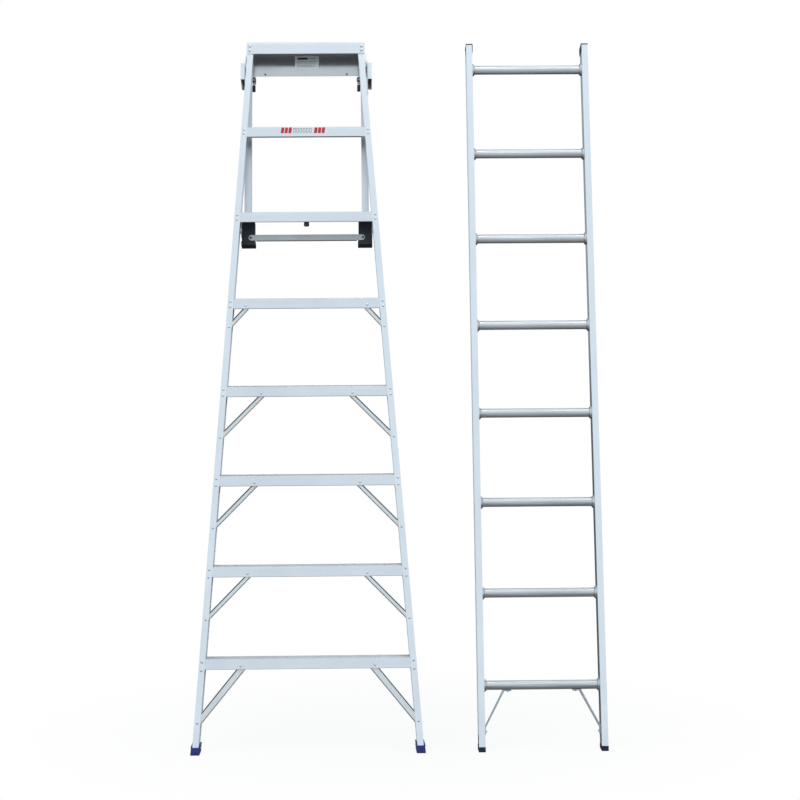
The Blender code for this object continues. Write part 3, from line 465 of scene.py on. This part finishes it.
def make_cap():
    """Folded sheet cap: a level top with shallow grooves and rolled edges over two flanges."""
    wall, under = CAP_WALL, CAP_WALL / math.cos(LEAN)
    front, back = -GAP - wall, STILE_DEPTH + GAP + wall

    def line(t):
        return CAP_TOP + t * LEAN_RISE

    points = [(front, line(front) - CAP_FRONT_FLANGE), (front, line(front))]
    radii = [0.0008, 0.0040]
    grooves, depth, first, last = 9, 0.0008, front + 0.0070, back - 0.0070
    step = (last - first) / grooves
    for k in range(grooves):
        t = first + k * step
        for share, rise in ((0.30, 0.0), (0.40, -depth), (0.60, -depth), (0.70, 0.0)):
            points.append((t + share * step, line(t + share * step) + rise))
            radii.append(0.0003)
    points += [(back, line(back)), (back, line(back) - CAP_REAR_FLANGE)]
    points.append((back - wall, line(back) - CAP_REAR_FLANGE))
    radii += [0.0040, 0.0006, 0.0006]
    points += [(back - wall, line(back - wall) - under), (front + wall, line(front + wall) - under)]
    radii += [0.0024, 0.0024]
    points.append((front + wall, line(front) - CAP_FRONT_FLANGE))
    radii.append(0.0008)
    outline = rounded(points, radii, 4)
    shape = bmesh.new()

    def end(side):
        def reach(t, s):
            rear_flange = t > STILE_DEPTH - 0.003 and s < line(t) - 0.015
            return side * (CAP_REAR_HALF if rear_flange else CAP_HALF)

        return reach

    drawn(shape, outline, end(-1), end(1), along_x)
    # The rear flange below the top gets the darker finish: painted shade.
    for face in shape.faces:
        middle = face.calc_center_median()
        face.material_index = int(middle.y > STILE_DEPTH - 0.001 and middle.z < line(middle.y) - 0.010)
    cap = put("top_cap_folded", mesh_of("cap", shape, 40), "step_section", "cap", replaced=["top_cap"])
    cap.data.materials.append(FINISH["cap_rear_painted_shade"])


BRACES = {  # by tread: reach inboard of the stile, drop to the stile, width
    4: (0.042, 0.063, 0.018),
    5: (0.115, 0.138, 0.018),
    6: (0.115, 0.139, 0.018),
    7: (0.115, 0.139, 0.018),
    8: (0.116, 0.171, 0.025),
}


def brace_line(number):
    """A brace's start, direction, length, width and upper corner, in (x, s), with x positive outward."""
    reach, drop, width = BRACES[number]
    overlap, past_middle = 0.021, 0.005  # up behind the tread's flange, and past the middle of the stile
    under = tread_tops()[number] - TREAD_FLANGE
    high = Vector((stile_middle(under) - STILE_WIDTH / 2 - reach, under))
    low = Vector((stile_middle(under - drop), under - drop))
    run = (low - high).normalized()
    start = high - run * overlap / abs(run.y)
    rate = run.x + TAPER_RISE * run.y
    length = (FOOT_HALF + past_middle / math.cos(TAPER) - start.x - TAPER_RISE * start.y) / rate
    return start, run, length, width, high


def make_brace(name, side, number):
    """A pressed strip: a shallow channel, open to the front, whose lips fade into a flat tab at each end."""
    start, run, length, width, _ = brace_line(number)
    across_rate = run.y - TAPER_RISE * run.x
    along_rate = run.x + TAPER_RISE * run.y
    front = WALL + 2 * GAP + TREAD_WALL
    wall, lip = 0.0015, 0.0066
    upper_tab, lower_tab = 0.030, 0.034
    # The lips' inner faces get a near-black finish: painted shade in the channel's corners.
    lips = (15, 23)  # of the outline's sides, the inner faces of the lips
    stations = 26
    rings = []
    shape = bmesh.new()
    for k in range(stations + 1):
        share = k / stations
        distance = share * length
        near_end = min(distance / upper_tab, (length - distance) / lower_tab, 1.0)
        rise = max(0.0, min(1.0, (near_end - 0.35) / 0.65))
        rise = rise * rise * (3 - 2 * rise)
        depth = wall + (lip - wall) * rise
        half = width / 2 - 0.0006 * rise
        radius = min(0.0020, depth * 0.6)
        floor_at = max(depth - wall, 1e-5)
        inside, slope = half - 0.0011, 0.0002 + 0.0024 * rise
        points = [(-half, depth), (half, depth), (half, 0.0), (inside, 0.0), (inside - slope, floor_at)]
        points += [(-inside + slope, floor_at), (-inside, 0.0), (-half, 0.0)]
        radii = [radius, radius, 0.0003, 0.0003, 0.0009, 0.0009, 0.0003, 0.0003]
        ring = []
        for u, v in rounded(points, radii, 3, even=True):
            last = share * side * u * across_rate / along_rate
            ring.append(shape.verts.new((u, v + GAP, distance - last)))
        rings.append(ring)
    for low, high in zip(rings, rings[1:]):
        for i in range(len(low)):
            j = (i + 1) % len(low)
            face = shape.faces.new((low[i], low[j], high[j], high[i]))
            face.material_index = int(i in lips)
    shape.faces.new(rings[0][::-1])
    shape.faces.new(rings[-1])
    bmesh.ops.remove_doubles(shape, verts=shape.verts, dist=1e-6)
    bmesh.ops.dissolve_degenerate(shape, edges=shape.edges, dist=1e-6)
    turn = math.atan2(side * run.x, run.y)
    place = STEP @ Matrix.Translation((side * start.x, front, start.y)) @ Matrix.Rotation(turn, 4, "Y")
    mesh = mesh_of("brace", shape, 35)
    cad = f"knee_brace_{number}_{name}"
    brace = put(f"{cad}_pressed", mesh, "step_section", "brace", place, [cad])
    # Second finish: the painted shade on the lips' inner faces.
    brace.data.materials.append(FINISH["brace_lip_shade"])


def make_step_rivets():
    """Heads on the stiles at each tread, at both ends of the braces, and on the cap."""
    flange, behind = [], []
    closest, upper = 0.0135, 0.0095  # the two heads' distance at the highest tread, and the upper one's drop
    for top in tread_tops().values():
        apart = closest + closest * (HIGHEST_TREAD - top) / (HIGHEST_TREAD - LOWEST_TREAD)
        for s in (top - upper, top - upper - apart):
            for side in (-1, 1):
                x = side * (stile_middle(s) + 0.001)
                flange.append((x, 0.0, s))
                behind.append((x, STILE_DEPTH, s + (STILE_DEPTH - 2 * WALL) * LEAN_RISE - 0.004))
    rivets("tread_rivets_front", "step_section", flange, "front")
    rivets("tread_rivets_back", "step_section", behind, "back", 0.0034, 0.0016)
    faces, stiles = [], []
    for number in BRACES:
        for side in (-1, 1):
            start, run, length, _, high = brace_line(number)
            spot = high + Vector((0.0, 0.011))
            faces.append((side * spot.x, WALL + GAP, spot.y))
            end = start + run * (length - 0.0085)
            stiles.append((side * end.x, 0.0, end.y))
    rivets("brace_rivets_tread", "step_section", faces, "front", *BRACE_HEAD)
    rivets("brace_rivets_stile", "step_section", stiles, "front", *BRACE_HEAD)
    cap = [(side * 0.1905, -GAP - CAP_WALL, CAP_TOP - drop) for side in (-1, 1) for drop in (0.014, 0.029)]
    rivets("cap_rivets_front", "step_section", cap, "front", 0.0054, 0.0034)
    flange_edge = CAP_TOP + STILE_DEPTH * LEAN_RISE - CAP_REAR_FLANGE
    heights = (flange_edge + 0.007, CAP_TOP - 0.008)
    cap = [(side * 0.140, STILE_DEPTH + GAP, s) for side in (-1, 1) for s in heights]
    rivets("cap_flange_rivets", "step_section", cap, "front", 0.0034, 0.0014, finish="dark")
    behind = STILE_DEPTH + GAP + CAP_WALL
    cap = [(side * 0.1875, behind, CAP_TOP - drop) for side in (-1, 1) for drop in (0.005, 0.034)]
    rivets("cap_rivets_back", "step_section", cap, "back")


def level_in_boot(side, height):
    """A level plane at a height above the floor, as a function of (u, v) in a boot's tilted axes."""
    return lambda u, v: (v * LEAN_RISE + height + u * -side * math.sin(TAPER)) / math.cos(TAPER)


def make_feet_details():
    """Grip ribs round the boots and two rivets in each cheek."""
    stands_out, rib_height, rivets_up = 0.0004, 0.0014, 0.0205
    half, front, back = BOOT_HALF, -BOOT_SKIN, STILE_DEPTH + BOOT_SKIN
    for name, side in SIDES.items():
        place = STEP @ Matrix.Translation((side * FOOT_HALF, 0, 0)) @ Matrix.Rotation(-side * TAPER, 4, "Y")
        shape = bmesh.new()
        across, ahead, behind = half + stands_out, front - stands_out, back + stands_out
        corners = [(-across, ahead), (across, ahead), (across, behind), (-across, behind)]
        outline = rounded(corners, [0.0015] * 4)
        for low in (0.0035, 0.0065):
            drawn(shape, outline, level_in_boot(side, low), level_in_boot(side, low + rib_height), along_z)
        put(f"boot_ribs_{name}", mesh_of("boot_ribs", shape), "step_section", "rubber", place)
        shape = bmesh.new()
        for facing, x in (("left", -half), ("right", half)):
            for t in (0.017, 0.045):
                rivet(shape, (x, t, rivets_up + t * LEAN_RISE), facing, *BOOT_HEAD)
        put(f"boot_rivets_{name}", mesh_of("boot_rivets", shape), "step_section", "rivet", place)


def patches(name, boxes, t, finish, slant=0.0, thick=0.0001):
    """Thin printed patches that face forward. Each box is (x0, x1, s0, s1), its top shifted by slant."""
    shape = bmesh.new()
    for x0, x1, s0, s1 in boxes:
        outline = [(x0, s0), (x1, s0), (x1 + slant, s1), (x0 + slant, s1)]
        drawn(shape, outline, at(t), at(t - thick), along_y)
    put(name, mesh_of(name, shape), "step_section", finish)


def make_stickers():
    """Plain stickers: grey lines and bars where the real ones carry words."""
    flange = STILE_DEPTH + GAP  # front of the cap's rear flange
    foil = 0.00012
    patches("cap_sticker", [(-0.038, 0.044, 2.338, 2.383)], flange, "foil", thick=foil)
    patches("cap_sticker_bar", [(-0.030, 0.006, 2.3705, 2.3775)], flange - foil, "ink")
    lines = [(0.010, 0.034, 2.3728, 2.3752), (-0.032, 0.036, 2.3608, 2.3634)]
    line_pitch = 0.0052
    for k in range(3):
        end, drop = 0.030 - 0.012 * (k % 2), k * line_pitch
        lines.append((-0.032, end, 2.3545 - drop, 2.3562 - drop))
    patches("cap_sticker_lines", lines, flange - foil, "grey")

    tread = WALL + GAP  # front of the highest tread
    bar, bar_pitch = 0.0104, 0.0128
    low, high = 2.0855, 2.1060
    starts = [x + bar_pitch * k for x in (-0.0860, 0.0265) for k in range(3)]
    patches("tread_sticker_bars", [(x, x + bar, low, high) for x in starts], tread, "red", slant=0.0030)
    width, mark_pitch, upright = 0.0082, 0.0108, 0.0016
    marks = []
    for k in range(6):  # small frames, where letters would be
        x = -0.0430 + k * mark_pitch
        marks += [(x, x + width, 2.0880, 2.0898), (x, x + width, 2.1015, 2.1033)]
        marks.append((x, x + upright, 2.0898, 2.1015))
        marks.append((x + width - upright, x + width, 2.0898, 2.1015))
    patches("tread_sticker_marks", marks, tread, "grey")


# ---- Rear frame ----------------------------------------------------------------------------------
def make_rear_details():
    """Rivets of the cross bar and of the rear rails, and the bolts of the lower guides."""
    tab_face = REAR_FRONT - SHOE_FRONT_WALL - GAP - CROSS_BAR_TAB
    spots = [(side * 0.190, tab_face, SHOE_LOW + 0.024) for side in (-1, 1)]
    rivets("cross_bar_rivets", "rear_frame", spots, "front", *BAR_HEAD, finish="dark")
    shape = bmesh.new()
    guide_face = REAR_HALF + SHOE_OUTER_WALL + GAP + GUIDE_WALL
    for facing, side in SIDES.items():
        for setback, up in ((0.014, 0.050), (0.032, 0.076)):
            spot = (side * guide_face, REAR_FRONT + setback, SHOE_LOW + up)
            hexagon_head(shape, spot, facing, across=0.010, height=0.0045, washer=0.0075)
    put("guide_bolts", mesh_of("guide_bolts", shape), "rear_frame", "zinc")
    inboard = REAR_HALF - 0.0175
    spots = [(side * inboard, REAR_FRONT, s) for side in (-1, 1) for s in (2.300, 2.270)]
    rivets("rear_rail_rivets", "rear_frame", spots, "front", *RAIL_HEAD)
    shape = bmesh.new()
    for facing, side in SIDES.items():
        for t in (REAR_FRONT + 0.010, REAR_BACK - 0.010):
            rivet(shape, (side * REAR_HALF, t, 2.262), facing, *RAIL_HEAD)
    put("rear_rail_side_rivets", mesh_of("rear_rail_side_rivets", shape), "rear_frame", "rivet")


def make_lock_sleeves():
    """Black sleeves round the tail of each rung lock: a long one, and a narrow one just below its pivot."""
    bands = (  # half depth, how far it stands out at the sides, and its ends from the pivot
        (0.0068, 0.0014, -0.041, -0.0215),
        (0.0128, 0.0008, -0.0115, -0.0065),
    )
    for name in SIDES:
        low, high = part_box(f"rung_lock_{name}")
        middle = (low.x + high.x) / 2 - STEP_ORIGIN.x
        place = STEP @ Matrix.Translation((middle, REAR_FRONT + LOCK_SETBACK, LOCK_PIVOT))
        half = (high.x - low.x) / 2
        shape = bmesh.new()
        for depth, stands_out, bottom, top in bands:
            across = half + stands_out
            outline = [(-across, -depth), (across, -depth), (across, depth), (-across, depth)]
            drawn(shape, rounded(outline, [0.0014] * 4, 3), at(bottom), at(top), along_z)
        put(f"lock_sleeves_{name}", mesh_of("lock_sleeves", shape), f"rung_lock_{name}", "black", place)


# ---- Straight section ----------------------------------------------------------------------------
def rung_ring(x, radius, depth):
    """A ring of points round a rung, with flutes of the given depth."""
    points, flutes = 96, 24
    ring = []
    for k in range(points):
        angle = 2 * math.pi * k / points
        wave = 0.5 - 0.5 * math.cos(flutes * angle)
        r = radius - depth * wave ** 0.7
        ring.append(Vector((x, r * math.cos(angle), r * math.sin(angle))))
    return ring


def rung_profile():
    """(x, radius, depth of the flutes) along a whole rung, outside and then back through its bore."""
    tube, bore, flute = 0.015, 0.0132, 0.00055
    face, outside = SECTION_INNER - GAP, SECTION_INNER + WALL + GAP
    fluted = [(0.0, tube, flute), (face - 0.030, tube, flute)]
    plain = [(face - 0.022, tube), (face - 0.0085, tube)]
    plain += [(face - 0.0078, 0.0160), (face - 0.0070, 0.0178), (face - 0.0052, 0.0196)]
    plain += [(face - 0.0030, 0.0209), (face - 0.0012, 0.0217), (face - 0.0003, 0.0220), (face, 0.0218)]
    plain += [(face, tube), (outside, tube), (outside, 0.0174), (outside + 0.0008, 0.0180)]
    plain += [(outside + 0.0022, 0.0180), (outside + 0.0030, 0.0172), (outside + 0.0030, bore + 0.0006)]
    plain += [(outside + 0.0020, bore), (0.0, bore)]
    half = fluted + [(x, radius, 0.0) for x, radius in plain]
    return [(-x, radius, depth) for x, radius, depth in half[:0:-1]] + half


def make_rungs():
    """Fluted tubes, swaged to a rounded flange inside each rail and rolled over outside it."""
    profile = rung_profile()
    for number in range(1, RUNG_COUNT + 1):
        shape = bmesh.new()
        rings = []
        for x, radius, depth in profile:
            rings.append([shape.verts.new(point) for point in rung_ring(x, radius, depth)])
        count = len(rings[0])
        for low, high in zip(rings, rings[1:]):
            for i in range(count):
                j = (i + 1) % count
                shape.faces.new((low[i], low[j], high[j], high[i]))
        bmesh.ops.remove_doubles(shape, verts=shape.verts, dist=1e-7)
        place = SECTION @ Matrix.Translation((0, RAIL_DEPTH / 2, LOWEST_RUNG + (number - 1) * PITCH))
        mesh = mesh_of("rung", shape, 35)
        put(f"rung_{number}_fluted", mesh, "straight_section", "rung", place, [f"rung_{number}"])


def make_section_details():
    """Rivets in the tabs of the struts, under the lowest rung and inside the rails."""
    shape = bmesh.new()
    for side in (-1, 1):
        facing = "left" if side > 0 else "right"
        rivet(shape, (side * (SECTION_INNER - 0.0055 - GAP), RAIL_DEPTH / 2, 0.068), facing, *BAR_HEAD)
        below_rung = LOWEST_RUNG - 0.0155 - 0.0035
        rivet(shape, (side * (SECTION_INNER - 0.078), RAIL_DEPTH / 2, below_rung), "down", *BAR_HEAD)
    put("strut_rivets", mesh_of("strut_rivets", shape), "straight_section", "rivet", SECTION)


# ---- CAD nodes that stay -------------------------------------------------------------------------
def pairs(*names):
    """The left and right nodes of each name."""
    return [f"{name}_{side}" for name in names for side in SIDES]


KEPT = {
    "rail": pairs("stile", "rail", "hinge_plate", "lower_guide", "upper_guide"),
    "rear": pairs("rear_rail") + ["head_plate"],
    "bar": ["cross_bar"],
    "foot": pairs("foot"),
    "rail_foot": pairs("rail_foot"),
    "bumper": ["bumper"],
    "black": pairs("lower_shoe", "guide_liner", "rail_cap"),
    "zinc": pairs("hinge_bolt", "lock_pin", "strut"),
    "lock": pairs("rung_lock"),
}
SHEET_EDGE = 0.0006
EDGE = {"bar": 0.0012, "bumper": 0.0014, "rail_foot": 0.0022, "foot": 0.0016, "black": 0.0010}
EDGE_OF = {"lower_shoe_left": 0.0045, "lower_shoe_right": 0.0045}


def finish_kept_nodes():
    """Finishes and rounded edges for the CAD nodes that are not replaced."""
    for finish, names in KEPT.items():
        for name in names:
            node = frame["nodes"][name]
            node.data.materials.clear()
            node.data.materials.append(FINISH[finish])
            node.data.polygons.foreach_set("use_smooth", [True] * len(node.data.polygons))
            weld = node.modifiers.new("Weld", "WELD")
            weld.merge_threshold = 0.00001
            bevel = node.modifiers.new("Edges", "BEVEL")
            bevel.width = EDGE_OF.get(name, EDGE.get(finish, SHEET_EDGE))
            bevel.segments = 3
            bevel.limit_method = "ANGLE"
            bevel.angle_limit = math.radians(32)
            bevel.use_clamp_overlap = True
            node.modifiers.new("Shading", "WEIGHTED_NORMAL").keep_sharp = False


# ---- Stage ---------------------------------------------------------------------------------------
def make_floor():
    """A white floor that fades into the white surroundings."""
    shape = bmesh.new()
    bmesh.ops.create_grid(shape, x_segments=2, y_segments=2, size=40.0)
    mesh = bpy.data.meshes.new("floor")
    shape.to_mesh(mesh)
    shape.free()
    floor = bpy.data.objects.new("floor", mesh)
    floor.location = (0, 0, -0.0002)
    bpy.context.scene.collection.objects.link(floor)
    made, tree, shader = nodes_of("floor_white")
    shader.inputs["Roughness"].default_value = 0.9
    shader.inputs["Specular IOR Level"].default_value = 0.1
    shader.inputs["Base Color"].default_value = (0.93, 0.93, 0.93, 1.0)
    glow = tree.nodes.new("ShaderNodeEmission")
    glow.inputs["Color"].default_value = (1.0, 1.0, 1.0, 1.0)
    glow.inputs["Strength"].default_value = 1.0
    where = tree.nodes.new("ShaderNodeTexCoord")
    distance = tree.nodes.new("ShaderNodeVectorMath")
    distance.operation = "LENGTH"
    link(tree, where.outputs["Object"], distance.inputs[0])
    fade = spread(tree, distance.outputs["Value"], 0.90, 1.0, 0.4, 1.4)
    mix = tree.nodes.new("ShaderNodeMixShader")
    link(tree, fade, mix.inputs[0])
    link(tree, shader.outputs[0], mix.inputs[1])
    link(tree, glow.outputs[0], mix.inputs[2])
    # The metal sees a darker floor than the camera does, as in a studio with a lit backdrop.
    dim = tree.nodes.new("ShaderNodeEmission")
    dim.inputs["Color"].default_value = (0.92, 0.96, 1.0, 1.0)
    along = tree.nodes.new("ShaderNodeSeparateXYZ")
    link(tree, where.outputs["Object"], along.inputs[0])
    link(tree, spread(tree, along.outputs["Y"], 0.42, 0.06, -1.9, 0.35), dim.inputs["Strength"])
    path = tree.nodes.new("ShaderNodeLightPath")
    whole = tree.nodes.new("ShaderNodeMixShader")
    link(tree, path.outputs["Is Camera Ray"], whole.inputs[0])
    link(tree, dim.outputs[0], whole.inputs[1])
    link(tree, mix.outputs[0], whole.inputs[2])
    link(tree, whole.outputs[0], tree.nodes["Material Output"].inputs["Surface"])
    mesh.materials.append(made)


def make_surroundings():
    """White to the camera, and a bluish gradient to everything it lights."""
    world = bpy.data.worlds.new("studio")
    bpy.context.scene.world = world
    world.use_nodes = True
    tree = world.node_tree
    background = tree.nodes["Background"]
    where = tree.nodes.new("ShaderNodeTexCoord")
    parts = tree.nodes.new("ShaderNodeSeparateXYZ")
    link(tree, where.outputs["Generated"], parts.inputs[0])
    back = spread(tree, parts.outputs["Y"], 0.91, 0.36, -0.35, 0.75)
    up = spread(tree, parts.outputs["Z"], 1.03, 0.93, 0.1, 0.6)
    both = tree.nodes.new("ShaderNodeMath")
    both.operation = "MULTIPLY"
    link(tree, back, both.inputs[0])
    link(tree, up, both.inputs[1])
    link(tree, both.outputs[0], background.inputs["Strength"])
    background.inputs["Color"].default_value = (0.80, 0.91, 1.0, 1.0)
    seen = tree.nodes.new("ShaderNodeBackground")
    seen.inputs["Color"].default_value = (1.0, 1.0, 1.0, 1.0)
    path = tree.nodes.new("ShaderNodeLightPath")
    mix = tree.nodes.new("ShaderNodeMixShader")
    link(tree, path.outputs["Is Camera Ray"], mix.inputs[0])
    link(tree, background.outputs[0], mix.inputs[1])
    link(tree, seen.outputs[0], mix.inputs[2])
    link(tree, mix.outputs[0], tree.nodes["World Output"].inputs["Surface"])


def area_light(name, place, target, size, power, shiny=False):
    """A soft white light. Only a shiny one shows in reflections."""
    light = bpy.data.lights.new(name, "AREA")
    light.shape = "RECTANGLE"
    light.size, light.size_y = size
    light.energy = power
    lamp = bpy.data.objects.new(name, light)
    bpy.context.scene.collection.objects.link(lamp)
    lamp.location = place
    lamp.visible_glossy = shiny
    lamp.rotation_euler = (Vector(target) - Vector(place)).to_track_quat("-Z", "Y").to_euler()


def make_camera():
    """The camera of the photo, as fitted."""
    camera = bpy.data.cameras.new("camera")
    camera.sensor_width = 36.0
    camera.lens = 102.557
    camera.clip_end = 200.0
    holder = bpy.data.objects.new("camera", camera)
    bpy.context.scene.collection.objects.link(holder)
    holder.location = STEP_ORIGIN + Vector((0.1544, -7.2475, 1.4870))
    yaw, pitch, roll = math.radians(1.1681), math.radians(-2.7785), math.radians(-0.3887)
    turned = Matrix.Rotation(-yaw, 4, "Z") @ Matrix.Rotation(math.pi / 2 + pitch, 4, "X")
    turned = turned @ Matrix.Rotation(roll, 4, "Z")
    holder.rotation_euler = turned.to_euler()
    bpy.context.scene.camera = holder


make_camera()
make_treads()
make_cap()
for number in BRACES:
    for name, side in SIDES.items():
        make_brace(name, side, number)
make_step_rivets()
make_feet_details()
make_stickers()
make_rear_details()
make_lock_sleeves()
make_rungs()
make_section_details()
finish_kept_nodes()
make_floor()
make_surroundings()
area_light("key", (-2.5, -4.0, 4.5), (0, 0, 1.2), (2.5, 2.5), 60)
area_light("top", (0.3, -0.8, 5.0), (0, 0, 1.0), (3.0, 2.0), 22, True)
area_light("rim", (2.5, 4.0, 3.5), (0, 0, 1.2), (2.0, 2.0), 18, True)
bpy.context.scene.view_settings.view_transform = "Standard"
